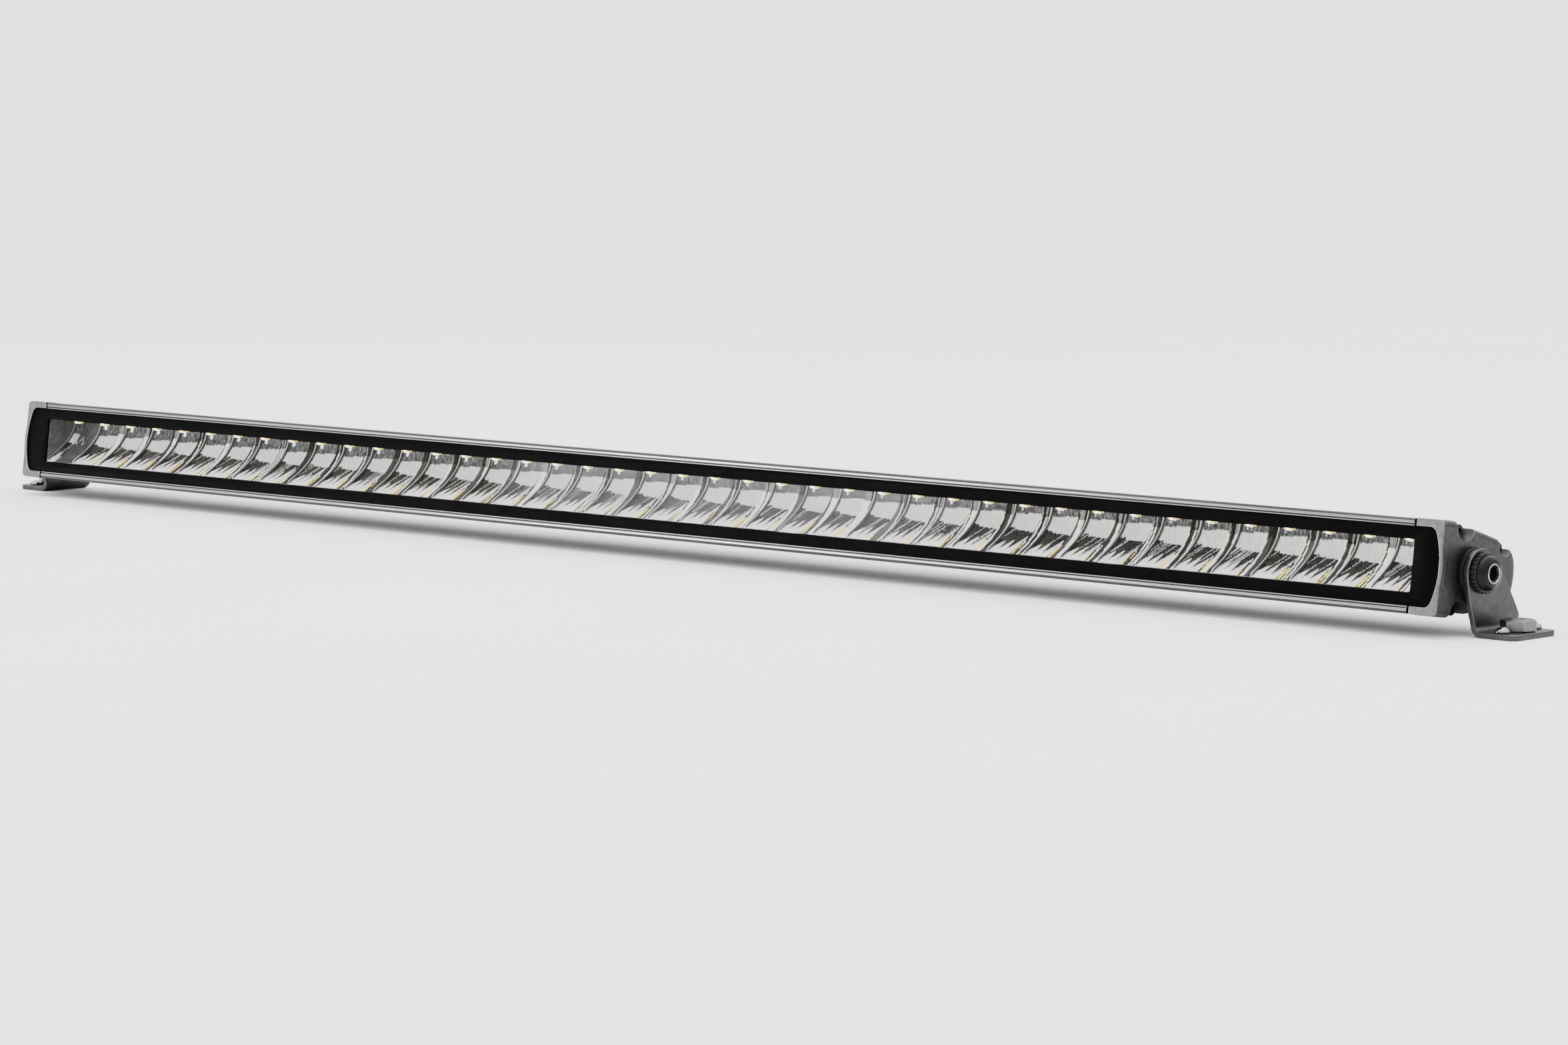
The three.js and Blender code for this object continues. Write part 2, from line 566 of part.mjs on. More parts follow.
function footRivet(side) {
  const top = -PIVOT_HEIGHT + PLATE + GAP;
  const y = FOOT_BOLT.y + side * RIVET.spacing;
  const dome = [new THREE.Vector2(0, 0)];
  for (let i = 0; i <= 4; i++) {
    const a = (Math.PI / 2) * (i / 4);
    dome.push(new THREE.Vector2(RIVET.r * Math.cos(a), 0.5 + (RIVET.height - 0.5) * Math.sin(a)));
  }
  dome.splice(1, 0, new THREE.Vector2(RIVET.r, 0));
  dome[dome.length - 1].x = 0;
  const head = solid(new THREE.LatheGeometry(dome, 14).rotateX(Math.PI / 2).translate(FOOT_BOLT.x, y, top));
  return join([head, rod("z", RIVET.shank, -PIVOT_HEIGHT + GAP, top + 0.5, FOOT_BOLT.x, y, { sides: 10 })]);
}

function addBrackets() {
  for (const [side, scale] of [["left", -1], ["right", 1]]) {
    const group = new THREE.Group();
    group.position.copy(bar.position);
    group.scale.x = scale;
    root.add(group);
    piece(group, `bracket_${side}`, bracketPlate(), FINISH.steel);
    piece(group, `pivot_spacer_${side}`, pivotSpacer(), FINISH.blackPlastic);
    piece(group, `pivot_washer_${side}`, pivotWasher(), FINISH.blackSteel);
    piece(group, `foot_bolt_${side}`, footBolt(), FINISH.zinc);
    piece(group, `foot_rivet_${side}_front`, footRivet(-1), FINISH.chrome);
    piece(group, `foot_rivet_${side}_rear`, footRivet(1), FINISH.chrome);
  }
}

addHousing();
addLens();
addOptics();
addCaps();
addElectrics();
addBrackets();

export default root;
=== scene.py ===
import json
import math

import bmesh
import bpy
from mathutils import Matrix, Vector
from mathutils.noise import noise


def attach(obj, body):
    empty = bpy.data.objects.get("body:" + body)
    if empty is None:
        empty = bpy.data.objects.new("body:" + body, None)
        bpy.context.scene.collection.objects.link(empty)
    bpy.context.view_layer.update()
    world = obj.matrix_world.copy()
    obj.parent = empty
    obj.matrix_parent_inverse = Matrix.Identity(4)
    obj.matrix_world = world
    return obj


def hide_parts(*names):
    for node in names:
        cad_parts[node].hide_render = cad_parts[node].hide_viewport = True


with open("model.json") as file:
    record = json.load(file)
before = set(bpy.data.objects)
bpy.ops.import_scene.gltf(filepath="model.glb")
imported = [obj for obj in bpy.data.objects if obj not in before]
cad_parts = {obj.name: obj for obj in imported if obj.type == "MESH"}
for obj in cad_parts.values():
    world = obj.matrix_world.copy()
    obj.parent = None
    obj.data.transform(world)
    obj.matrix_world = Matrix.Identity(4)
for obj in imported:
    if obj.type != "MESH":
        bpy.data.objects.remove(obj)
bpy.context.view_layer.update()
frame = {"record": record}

JOINTS = {j["name"]: j for j in frame["record"]["behaviour"]["joints"]}
_, PIVOT_Y, PIVOT_Z = JOINTS["bracket_right_tilt"]["pos_m"]
TILT = math.radians(8.1)  # the bar leans back on its brackets
PIVOT_DEPTH = 24.0  # pivot axis behind the lens face
UNDER = -PIVOT_Z * 1000  # underside of the feet in the bracket frame
MM = Matrix.Scale(0.001, 4)

BRACKET = Matrix.Translation((0, PIVOT_Y, PIVOT_Z)) @ MM
FACE = (
    Matrix.Translation((0, PIVOT_Y, PIVOT_Z)) @ Matrix.Rotation(-TILT, 4, "X")
    @ MM @ Matrix.Translation((0, -PIVOT_DEPTH, 0))
)
MIRROR = Matrix.Scale(-1, 4, (1, 0, 0))
SIDES = (("right", 1), ("left", -1))


# ---------------------------------------------------------------- materials
def new_material(name, **values):
    mat = bpy.data.materials.new(name)
    mat.use_nodes = True
    bsdf = mat.node_tree.nodes["Principled BSDF"]
    for key, value in values.items():
        bsdf.inputs[key.replace("_", " ")].default_value = value
    return mat, mat.node_tree, bsdf


def add(tree, kind, inputs=None, **props):
    node = tree.nodes.new(kind)
    for key, value in props.items():
        setattr(node, key, value)
    for key, value in (inputs or {}).items():
        if isinstance(value, bpy.types.NodeSocket):
            tree.links.new(value, node.inputs[key])
        else:
            node.inputs[key].default_value = value
    return node


def coords(tree, stretch=(1, 1, 1)):
    local = add(tree, "ShaderNodeTexCoord").outputs["Object"]
    return add(tree, "ShaderNodeMapping", {"Vector": local, "Scale": stretch}).outputs[0]


def grain(tree, size, stretch=(1, 1, 1), detail=4.0, rough=0.55):
    """Noise whose features are about size metres across."""
    return add(tree, "ShaderNodeTexNoise", {
        "Vector": coords(tree, stretch), "Scale": 1 / size, "Detail": detail, "Roughness": rough,
    }).outputs["Fac"]


def ramp(tree, fac, dark, light, low=0.35, high=0.65):
    node = add(tree, "ShaderNodeValToRGB", {"Fac": fac})
    first, second = node.color_ramp.elements
    first.position, second.position = low, high
    first.color = (*dark, 1)
    second.color = (*light, 1)
    return node.outputs[0]


def span(tree, fac, low, high):
    """Turns the middle of a noise's range into the range from low to high."""
    return add(tree, "ShaderNodeMapRange", {
        "Value": fac, "From Min": 0.3, "From Max": 0.7, "To Min": low, "To Max": high,
    }).outputs[0]


def finish(name, dark, light, rough, metal, *, size=0.004, fine=0.0006, bump=0.02,
           stretch=(1, 1, 1), edge_wear_and_highlight=None, **extra):
    """A surface with a soft colour mottle, uneven roughness and fine relief."""
    mat, tree, bsdf = new_material(name, Metallic=metal, **extra)
    colour = ramp(tree, grain(tree, size, stretch), dark, light)
    if edge_wear_and_highlight:
        # Convex edges are lightened: partly rubbed wear, partly a painted edge highlight.
        edge = add(tree, "ShaderNodeNewGeometry").outputs["Pointiness"]
        mask = add(tree, "ShaderNodeMapRange", {
            "Value": edge, "From Min": 0.52, "From Max": 0.62}).outputs[0]
        mix = add(tree, "ShaderNodeMix", {"Factor": mask}, data_type="RGBA")
        tree.links.new(colour, mix.inputs["A"])
        mix.inputs["B"].default_value = (*edge_wear_and_highlight, 1)
        colour = mix.outputs["Result"]
    tree.links.new(colour, bsdf.inputs["Base Color"])
    uneven = span(tree, grain(tree, size * 0.6, stretch), rough - 0.05, rough + 0.07)
    tree.links.new(uneven, bsdf.inputs["Roughness"])
    relief = add(tree, "ShaderNodeBump", {
        "Height": grain(tree, fine, stretch), "Strength": bump * 5, "Distance": fine * 0.3})
    tree.links.new(relief.outputs[0], bsdf.inputs["Normal"])
    return mat


def grey(value, warm=0.0):
    return (value * (1 + warm), value, value * (1 - warm))


BRUSHED = (0.02, 1, 1)  # stretches the grain along the bar
MATS = {
    "anodised": finish("anodised_aluminium", grey(0.035), grey(0.05), 0.32, 1.0, size=0.0012,
                       fine=0.0003, bump=0.02, stretch=BRUSHED),
    "brim_light": finish("brim_light_aluminium", grey(0.27), grey(0.31), 0.2, 1.0, size=0.0016,
                       fine=0.0003, bump=0.008, stretch=BRUSHED),
    "cast": finish("cast_cap", grey(0.028), grey(0.042), 0.42, 0.85, size=0.003, fine=0.0006,
                   bump=0.04, edge_wear_and_highlight=grey(0.15)),
    "steel": finish("bracket_steel", grey(0.04), grey(0.056), 0.38, 0.95, size=0.006, fine=0.0004,
                    bump=0.03, edge_wear_and_highlight=grey(0.2)),
    # A lighter copy of the cast finish: painted highlight on the front of the cap's rim.
    "rim": finish("cast_cap_rim_painted_highlight", grey(0.1), grey(0.14), 0.34, 0.9, size=0.003, fine=0.0006,
                  bump=0.03, edge_wear_and_highlight=grey(0.24)),
    "zinc": finish("zinc_bolt", grey(0.035), grey(0.055, 0.02), 0.36, 1.0, size=0.002, fine=0.0003,
                   bump=0.03, edge_wear_and_highlight=grey(0.2)),
    "chrome": finish("chrome_rivet", grey(0.2), grey(0.28), 0.1, 1.0, size=0.002, bump=0.01),
    "black_steel": finish("black_steel", grey(0.0025), grey(0.004), 0.3, 0.0, size=0.0015,
                          fine=0.0003, bump=0.04, edge_wear_and_highlight=grey(0.02), Specular_IOR_Level=0.12),
    "black_plastic": finish("black_plastic", grey(0.003), grey(0.005), 0.45, 0.0, size=0.002,
                            fine=0.0003, bump=0.06, Specular_IOR_Level=0.15),
    "lens_border": finish("lens_border", grey(0.0006), grey(0.0012), 0.42, 0.0, size=0.02,
                          fine=0.002, bump=0.004, Specular_IOR_Level=0.02),
    "rubber": finish("seal_rubber", grey(0.006), grey(0.012), 0.8, 0.0, size=0.001, bump=0.05,
                     Specular_IOR_Level=0.2),
    "end_wall": finish("optic_end", grey(0.06), grey(0.1), 0.5, 0.1, size=0.003, bump=0.03),
    "board": finish("led_board", grey(0.45), grey(0.56), 0.5, 0.0, size=0.002, bump=0.03),
    "driver": finish("driver_board", (0.01, 0.07, 0.035), (0.02, 0.12, 0.06), 0.4, 0.0,
                     size=0.0015, bump=0.05),
    "pad": finish("thermal_pad", (0.25, 0.34, 0.42), (0.33, 0.43, 0.52), 0.85, 0.0, size=0.001,
                  bump=0.06),
    "brass": finish("brass", (0.45, 0.31, 0.11), (0.6, 0.43, 0.17), 0.3, 1.0, size=0.002,
                    bump=0.02),
}


def clear_material():
    """Clear polycarbonate: light goes straight through, with a weak, sharp reflection."""
    mat, tree, bsdf = new_material("clear_lens", Metallic=1.0)
    bsdf.inputs["Base Color"].default_value = (0.5, 0.51, 0.52, 1)
    tree.links.new(span(tree, grain(tree, 0.03), 0.003, 0.006), bsdf.inputs["Alpha"])
    tree.links.new(span(tree, grain(tree, 0.01), 0.03, 0.07), bsdf.inputs["Roughness"])
    return mat


def mirror_material():
    """Vacuum-coated optic: the facets' painted reflections are held in the mesh, the fine streaks in
    the nodes; the painted tone also glows.
    """
    mat, tree, bsdf = new_material("mirror_trough", Metallic=0.6)
    tone = add(tree, "ShaderNodeVertexColor", layer_name="facet").outputs["Color"]
    streak = span(tree, grain(tree, 0.0007, (1, 0.3, 0.3), detail=2), 0.8, 1.15)
    mix = add(tree, "ShaderNodeVectorMath", {0: tone}, operation="SCALE")
    tree.links.new(streak, mix.inputs["Scale"])
    tree.links.new(mix.outputs[0], bsdf.inputs["Base Color"])
    # The painted tone also glows: painted light in the trough, which is no lamp.
    tree.links.new(mix.outputs[0], bsdf.inputs["Emission Color"])
    bsdf.inputs["Emission Strength"].default_value = 0.8
    tree.links.new(span(tree, grain(tree, 0.003), 0.3, 0.42), bsdf.inputs["Roughness"])
    return mat


def led_material(name, low, high, glow):
    """A lit part of an LED, whose colour and glow share one mottle."""
    mat, tree, bsdf = new_material(name, Roughness=0.25)
    tone = ramp(tree, grain(tree, 0.0008), low, high)
    tree.links.new(tone, bsdf.inputs["Base Color"])
    tree.links.new(tone, bsdf.inputs["Emission Color"])
    bsdf.inputs["Emission Strength"].default_value = glow
    return mat


MATS["clear"] = clear_material()
MATS["mirror"] = mirror_material()
MATS["phosphor"] = led_material("led_phosphor", (0.85, 0.6, 0.06), (0.95, 0.78, 0.2), 0.9)
MATS["dome"] = led_material("led_dome", (0.9, 0.88, 0.75), (1.0, 1.0, 0.95), 3.0)


# ---------------------------------------------------------------- mesh helpers
def mesh_of(verts, faces):
    mesh = bpy.data.meshes.new("raw")
    mesh.from_pydata([tuple(v) for v in verts], [], faces)
    bm = bmesh.new()
    bm.from_mesh(mesh)
    bmesh.ops.recalc_face_normals(bm, faces=bm.faces)
    bm.to_mesh(mesh)
    bm.free()
    return mesh


def place(name, mesh, matrix, body, node, mats, angle=32):
    """Puts a mesh in the model's frame as a named piece that stands for a CAD node."""
    mesh.transform(matrix)
    if matrix.determinant() < 0:
        mesh.flip_normals()
    mesh.name = name
    chosen = [face.material_index for face in mesh.polygons]
    mesh.materials.clear()
    for mat in mats if isinstance(mats, (list, tuple)) else [mats]:
        mesh.materials.append(mat)
    mesh.polygons.foreach_set("material_index", chosen)
    mesh.shade_smooth()
    mesh.set_sharp_from_angle(angle=math.radians(angle))
    obj = bpy.data.objects.new(name, mesh)
    bpy.context.scene.collection.objects.link(obj)
    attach(obj, body)
    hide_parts(node)
    return obj


def loft(rings):
    """Skins a list of closed rings of equal count, with flat ends."""
    count = len(rings[0])
    verts = [p for ring in rings for p in ring]
    faces = [tuple(range(count)), tuple(range(len(verts) - count, len(verts)))]
    for k in range(len(rings) - 1):
        a = k * count
        for i in range(count):
            j = (i + 1) % count
            faces.append((a + i, a + j, a + count + j, a + count + i))
    return mesh_of(verts, faces)


def at(axis, along, a, b):
    """A point from its place along an axis and its two cross-axis places."""
    return {"x": (along, a, b), "y": (a, along, b), "z": (a, b, along)}[axis]


def prism(axis, outline, start, end):
    return loft([[at(axis, s, a, b) for a, b in outline] for s in (start, end)])


def block(x0, x1, y0, y1, z0, z1):
    return prism("z", [(x0, y0), (x1, y0), (x1, y1), (x0, y1)], z0, z1)


def circle(a, b, r, count=64):
    return [(a + r * math.cos(2 * math.pi * i / count), b + r * math.sin(2 * math.pi * i / count))
            for i in range(count)]


def hexagon(flats, turn=0.0):
    """Radius of a hexagon at an angle, from its width across flats."""
    def radius(t):
        return flats / 2 / math.cos((t - turn) % (math.pi / 3) - math.pi / 6)
    return radius


def turned(axis, a, b, profile, count=72):
    """A turned part: each step is a place along the axis and a radius, and either may go by angle."""
    rings = []
    for along, radius in profile:
        ring = []
        for i in range(count):
            t = 2 * math.pi * i / count
            r = radius(t) if callable(radius) else radius
            s = along(t) if callable(along) else along
            ring.append(at(axis, s, a + r * math.cos(t), b + r * math.sin(t)))
        rings.append(ring)
    return loft(rings)


def rounded(points, radius, steps=4, closed=True):
    """A polyline with its corners rounded."""
    out, n = [], len(points)
    for i, p in enumerate(points):
        p = Vector(p)
        if not closed and i in (0, n - 1):
            out.append(tuple(p))
            continue
        before, after = Vector(points[i - 1]) - p, Vector(points[(i + 1) % n]) - p
        reach = min(radius, before.length * 0.45, after.length * 0.45)
        a, b = p + before.normalized() * reach, p + after.normalized() * reach
        for k in range(steps + 1):
            t = k / steps
            out.append(tuple((1 - t) ** 2 * a + 2 * t * (1 - t) * p + t * t * b))
    return out


def shaped(base, join=(), cut=(), keep=(), voxel=None, smooth=3, bevel=None):
    """Joins, cuts and intersects meshes, then rounds the edges by remeshing or a bevel."""
    scene = bpy.context.scene.collection
    main = bpy.data.objects.new("main", base)
    scene.objects.link(main)
    tools = []
    for kind, meshes in (("UNION", join), ("INTERSECT", keep), ("DIFFERENCE", cut)):
        for mesh in meshes:
            tool = bpy.data.objects.new("tool", mesh)
            scene.objects.link(tool)
            tools.append(tool)
            mod = main.modifiers.new(kind, "BOOLEAN")
            mod.operation, mod.object, mod.solver = kind, tool, "MANIFOLD"
    if voxel:
        mod = main.modifiers.new("remesh", "REMESH")
        mod.mode, mod.voxel_size, mod.use_smooth_shade = "VOXEL", voxel, True
        mod = main.modifiers.new("smooth", "SMOOTH")
        mod.factor, mod.iterations = 0.5, smooth
    if bevel:
        mod = main.modifiers.new("bevel", "BEVEL")
        mod.width, mod.segments, mod.limit_method = bevel, 2, "ANGLE"
        mod.angle_limit = math.radians(40)
    depsgraph = bpy.context.evaluated_depsgraph_get()
    made = bpy.data.meshes.new_from_object(main.evaluated_get(depsgraph), depsgraph=depsgraph)
    for obj in [main, *tools]:
        bpy.data.objects.remove(obj)
    return made


# ---------------------------------------------------------------- outlines of the bar
# Top of the section from front to back, as depth and height.
SKIN = [(0.6, 23.6), (11, 23.6), (26, 20.9), (40, 18.5), (51, 16.1), (57.4, 12.5), (60.7, 7.4),
        (61.8, 0)]
RIM_FRONT = -0.9
HOUSING_END = 527.4
CAP_START, CAP_SIDE, RIM_TIP = 528.6, 545.8, 546.5
LEDGE_BACK = 6.0
LEDGE_HALF = 16.4
WELL_HALF = 15.0
LIP_HALF = 19.6
SCREW_BORE_R = 2.2
RIM = dict(tip=RIM_TIP, half=23.6, bulge=53.3, corner=7.0)
LENS = dict(tip=544.0, half=19.4, bulge=46.3, corner=4.2)
WINDOW = (527.8, 13.15)
FRONT_SCREW = dict(y=17.7, z=19.1, pocket_z=21.8, pocket_r=7.3)
REAR_SCREW = dict(y=51.2, z=12.6, pocket_z=14.4, pocket_r=5.4)


def skin(inset, per_span=8):
    """The upper skin, moved inwards by an inset, as a smooth curve through its points."""
    pts = [Vector(p) for p in SKIN]
    out = []
    for i in range(len(pts) - 1):
        p0, p1, p2 = pts[max(i - 1, 0)], pts[i], pts[i + 1]
        p3 = pts[min(i + 2, len(pts) - 1)]
        v0, v1 = (p2 - p0) / 2, (p3 - p1) / 2
        last = i == len(pts) - 2
        for k in range(per_span + (1 if last else 0)):
            t = k / per_span
            p = ((2 * p1 - 2 * p2 + v0 + v1) * t ** 3 + (-3 * p1 + 3 * p2 - 2 * v0 - v1) * t ** 2
                 + v0 * t + p1)
            d = ((2 * p1 - 2 * p2 + v0 + v1) * 3 * t ** 2
                 + (-3 * p1 + 3 * p2 - 2 * v0 - v1) * 2 * t + v0)
            d.normalize()
            out.append((p.x + d.y * inset, max(0.0, p.y - d.x * inset)))
    return out


def symmetric(upper):
    return [*upper, *[(a, -b) for a, b in reversed(upper) if b > 0.01]]


def face_outline(shape, margin=0.0, steps=14):
    """Outline of the face in (x, z): long flat edges, and bulged ends with rounded corners."""
    tip, half = shape["tip"] + margin, shape["half"] + margin
    bulge, corner = shape["bulge"] + margin, shape["corner"] + margin
    centre, cz = tip - bulge, half - corner
    cx = centre + math.sqrt((bulge - corner) ** 2 - cz ** 2)
    a = math.atan2(cz, cx - centre)

    def arc(x, z, r, start, end, count):
        return [(x + r * math.cos(start + (end - start) * k / count),
                 z + r * math.sin(start + (end - start) * k / count)) for k in range(count + 1)]

    right = arc(cx, -cz, corner, -math.pi / 2, -a, steps) + arc(centre, 0, bulge, -a, a, 24)[1:-1]
    right += arc(cx, cz, corner, a, math.pi / 2, steps)
    return right + [(-x, z) for x, z in reversed(right)]


def screw_spots():
    upper = [FRONT_SCREW, REAR_SCREW]
    return upper + [dict(s, z=-s["z"], pocket_z=-s["pocket_z"]) for s in upper]


# ---------------------------------------------------------------- housing
FLOOR_DEPTH, FLOOR_BACK = 41.5, 44.1
LENS_SEAT = 3.5
PLATFORM_DEPTH, PLATFORM_HALF = 46.2, 13.0
FIN_COUNT, FIN_PITCH = 5, 3.6
BACK_HALF = 9.4  # half the height of the finned strip
BEHIND = 63.0  # a depth clear of the whole bar
GLAND_X, VENT_X = -486.0, -446.0


def housing_outline():
    inside = [(FLOOR_DEPTH, WELL_HALF), (27, LEDGE_HALF), (LEDGE_BACK, LEDGE_HALF),
              (LEDGE_BACK, WELL_HALF), (LENS_SEAT, WELL_HALF), (LENS_SEAT, LIP_HALF)]
    brim = [(-0.4, LIP_HALF), (-0.75, 19.75), (-0.75, 20.15), (0.25, 20.25), (0.25, 20.75),
            (-0.75, 20.85), (RIM_FRONT, 21.2), (RIM_FRONT, 21.9), (-0.65, 22.8), (0.0, 23.35)]
    top = [p for p in skin(0.25) if p[0] < 55.5 and p[1] > BACK_HALF]
    corner = [(56.6, 11.2), (56.4, BACK_HALF), (FLOOR_BACK, BACK_HALF)]
    upper = [*inside, *rounded(brim, 0.25, 3, closed=False), *top, *corner]
    fins = []
    for i in range(FIN_COUNT):
        z = (i - FIN_COUNT // 2) * FIN_PITCH
        tip = 60.0 - 0.055 * z * z
        crest = rounded([(tip, z - 0.6), (tip, z + 0.6)], 0.4, 3, closed=False)
        fins += [(FLOOR_BACK, z - 0.75), *crest, (FLOOR_BACK, z + 0.75)]
    return upper + fins[::-1] + [(a, -b) for a, b in reversed(upper)]


def make_housing():
    base = prism("x", housing_outline(), -HOUSING_END, HOUSING_END)
    seats, clear, bores = [], [], []
    for x, r in ((GLAND_X, 6.3), (VENT_X, 5.3)):
        a, b = x - PLATFORM_HALF, x + PLATFORM_HALF
        clear.append(block(a, b, PLATFORM_DEPTH, BEHIND, -9.35, 9.35))
        seats.append(block(a + 0.05, b - 0.05, FLOOR_DEPTH + 0.5, PLATFORM_DEPTH - 0.02, -9.5, 9.5))
        bores.append(prism("y", circle(x, 0, r), 30, BEHIND))
    bores += [prism("x", circle(s["y"], s["z"], SCREW_BORE_R, 24), e - 29, e + 29)
              for s in screw_spots() for e in (-HOUSING_END, HOUSING_END)]
    mesh = shaped(base, join=seats, cut=clear + bores)
    for face in mesh.polygons:  # the brim's front lips are a lighter metal, the rest is dark
        _, y, z = face.center
        face.material_index = int(y < -0.5 and (20.8 < abs(z) < 22.3 or 19.6 < abs(z) < 20.2))
    place("housing_extrusion", mesh, FACE, "light_bar", "housing",
          [MATS["anodised"], MATS["brim_light"]], angle=24)


# ---------------------------------------------------------------- end caps and their screws
CAP_OUTSIDE = 548.0  # a place clear of the cap's side
HOLLOW_HALF = 14.4
SCREW_SEAT = 538.3


def cap_mesh():
    rings = []
    round_r, steps = 3.2, 7
    stations = [(CAP_START, 0.0)]
    for k in range(steps + 1):
        t = math.pi / 2 * k / steps
        stations.append((CAP_SIDE - round_r + round_r * math.sin(t), round_r * (1 - math.cos(t))))
    for x, inset in stations:
        section = [(RIM_FRONT, SKIN[0][1] - inset), *skin(inset)]
        rings.append([(x, a, b) for a, b in symmetric(section)])
    rim = prism("y", face_outline(RIM), RIM_FRONT, 3.2)
    seat = prism("y", face_outline(LENS, 0.25), RIM_FRONT - 1, 3.5)
    hollow = block(CAP_START - 1, 540, LEDGE_BACK, 43.5, -HOLLOW_HALF, HOLLOW_HALF)
    boss = prism("x", circle(PIVOT_DEPTH, 0, 11), CAP_START, 541)
    mouth = block(CAP_START - 1, 531.5, 0, LEDGE_BACK + 1, -HOLLOW_HALF, HOLLOW_HALF)
    bore = prism("x", circle(PIVOT_DEPTH, 0, 7.2), 533.5, CAP_OUTSIDE)
    cuts = [shaped(hollow, cut=[boss]), seat, mouth, bore]
    for s in screw_spots():
        cuts.append(prism("x", circle(s["y"], s["pocket_z"], s["pocket_r"]), 538, CAP_OUTSIDE))
        cuts.append(prism("x", circle(s["y"], s["z"], SCREW_BORE_R, 24), CAP_START - 1, CAP_OUTSIDE))
    keep = [block(CAP_START, CAP_OUTSIDE, RIM_FRONT, 64, -25, 25)]
    return shaped(loft(rings), join=[rim], keep=keep, cut=cuts, voxel=0.42, smooth=3)


def screw_mesh(spot):
    seat = SCREW_SEAT
    top = seat + 2.8
    socket = hexagon(3.0)
    profile = [(seat - 28, 1.6), (seat - 27, 1.9), (seat, 1.9), (seat, 3.3), (seat + 0.15, 3.4),
               (top - 0.35, 3.4), (top - 0.1, 3.28), (top, 3.05), (top, 1.9), (top - 0.15, socket),
               (top - 1.6, socket)]
    return turned("x", spot["y"], spot["z"], profile, count=48)


def make_caps():
    cap = cap_mesh()
    for face in cap.polygons:  # the raised rim is given a lighter copy of the cast finish, a painted highlight on its front
        face.material_index = int(face.center.y < -0.6)
    for side, sign in SIDES:
        matrix = FACE if sign > 0 else FACE @ MIRROR
        place(f"cap_casting_{side}", cap.copy(), matrix, "light_bar", f"end_cap_{side}",
              [MATS["cast"], MATS["rim"]], angle=80)
        for i, spot in enumerate(screw_spots()):
            place(f"cap_screw_{side}_{i + 1}", screw_mesh(spot), matrix, "light_bar",
                  f"end_cap_screw_{side}_{i + 1}", MATS["black_steel"])


# ---------------------------------------------------------------- lens border
def make_lens_border():
    base = prism("y", face_outline(LENS), 0.0, 0.65)
    x, z = WINDOW
    window = prism("y", rounded([(-x, -z), (x, -z), (x, z), (-x, z)], 1.2, 5), -1, 2)
    mesh = shaped(base, cut=[window], bevel=0.2)
    place("lens_border_band", mesh, FACE, "light_bar", "lens_mask",
          MATS["lens_border"])


# ---------------------------------------------------------------- optics
PITCH = 25.1
CELLS = [8, 9, 8, 9, 8]
COUNT = sum(CELLS)
HALF = COUNT * PITCH / 2
FOCAL, VERTEX_Y, VERTEX_Z = 8.7, 23.4, 14.0
TROUGH_TOP, TROUGH_BOTTOM = 13.3, -12.8
COLUMNS, ROWS = 44, 52  # mesh steps in each cell
FLUTES_FROM = 18.2  # where the flutes beside the next rib start in a cell


def trough(z):
    return VERTEX_Y - (VERTEX_Z - z) ** 2 / (4 * FOCAL)


def offset_line(offset, count):
    out = []
    for i in range(count + 1):
        z = TROUGH_TOP + (TROUGH_BOTTOM - TROUGH_TOP) * i / count
        slope = (VERTEX_Z - z) / (2 * FOCAL)
        n = math.hypot(1, slope)
        out.append((trough(z) + offset / n, z - offset * slope / n))
    return out


def step(edge, value, soft=0.35):
    t = max(0.0, min(1.0, (value - edge) / soft + 0.5))
    return t * t * (3 - 2 * t)


def hashed(*values):
    seed = sum(v * k for v, k in zip(values, (12.9898, 78.233, 37.719)))
    return math.modf(abs(math.sin(seed) * 43758.5453))[0]


def tooth(x, start, end, foot, peak):
    """Height of one saw tooth that rises from start to end and drops back."""
    if not start <= x <= end:
        return -99.0
    return foot + (peak - foot) * (x - start) / (end - start)


def streaks(x, z, cell, width, lean=0.0):
    """Painted reflections of upright flutes, each light or dark by a hash, that lean and change from
    cell to cell.
    """
    flute = math.floor((x + lean * z) / width)
    pick = hashed(flute, cell * 0.13 + 3)
    return 0.92 if pick > 0.62 else 0.12 + 0.4 * pick


